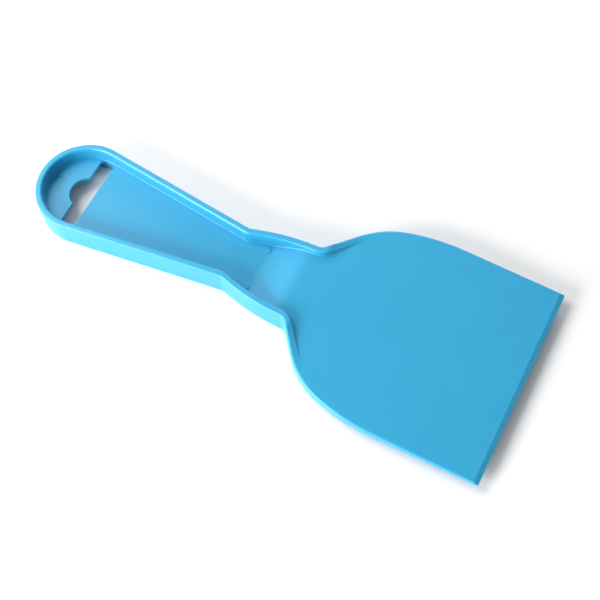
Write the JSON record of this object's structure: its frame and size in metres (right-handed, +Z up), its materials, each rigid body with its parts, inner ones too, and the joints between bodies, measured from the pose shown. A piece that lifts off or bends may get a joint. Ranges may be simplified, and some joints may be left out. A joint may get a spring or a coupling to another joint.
{
  "type": "putty knife",
  "caption": "Plastic putty knife moulded in one piece: rimmed handle with a web and hang slot, a ramp, and a wide blade that thins to a bevelled working edge.",
  "frame": {"origin": "middle of the overall length and width, at the underside of the handle's rim", "axes": "+X along the tool towards the working edge, +Y across the blade, +Z up from the underside"},
  "size_m": [0.191, 0.0768, 0.0111],
  "materials": {
    "blue_polypropylene": "satin"
  },
  "bodies": {
    "root": {"putty_knife": "blue_polypropylene"}
  },
  "joints": []
}
